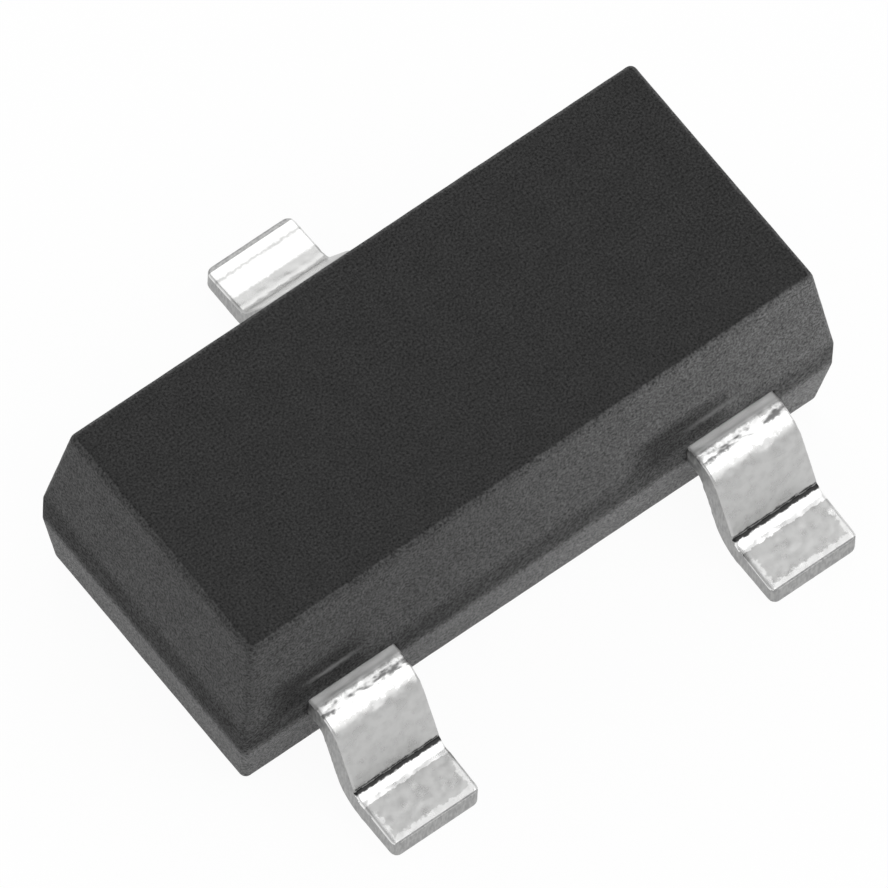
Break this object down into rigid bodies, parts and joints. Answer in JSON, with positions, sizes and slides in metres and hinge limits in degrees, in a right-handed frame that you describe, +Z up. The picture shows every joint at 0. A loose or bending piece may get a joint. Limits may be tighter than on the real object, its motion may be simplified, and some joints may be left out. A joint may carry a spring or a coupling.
{
  "type": "smd temperature sensor",
  "caption": "Small surface-mount temperature sensor: a drafted moulded epoxy body with formed gull-wing leads round a bonded silicon die.",
  "frame": {"origin": "on the seating plane, under the middle of the body", "axes": "+X along the body's length, +Z up away from the board, +Y towards the ground lead"},
  "size_m": [0.003, 0.0026, 0.0011],
  "materials": {
    "mould_compound": "fine matt moulded epoxy",
    "tin_plate": "satin matt tin",
    "silicon": "polished silicon",
    "silver_epoxy": "cured silver-filled epoxy",
    "gold_wire": "bright drawn gold"
  },
  "bodies": {
    "root": {"moulded_body": "mould_compound", "ground_lead": "tin_plate", "supply_lead": "tin_plate", "output_lead": "tin_plate", "silicon_die": "silicon", "die_attach": "silver_epoxy", "supply_bond_wire": "gold_wire", "output_bond_wire": "gold_wire", "ground_bond_wire": "gold_wire"}
  },
  "joints": []
}
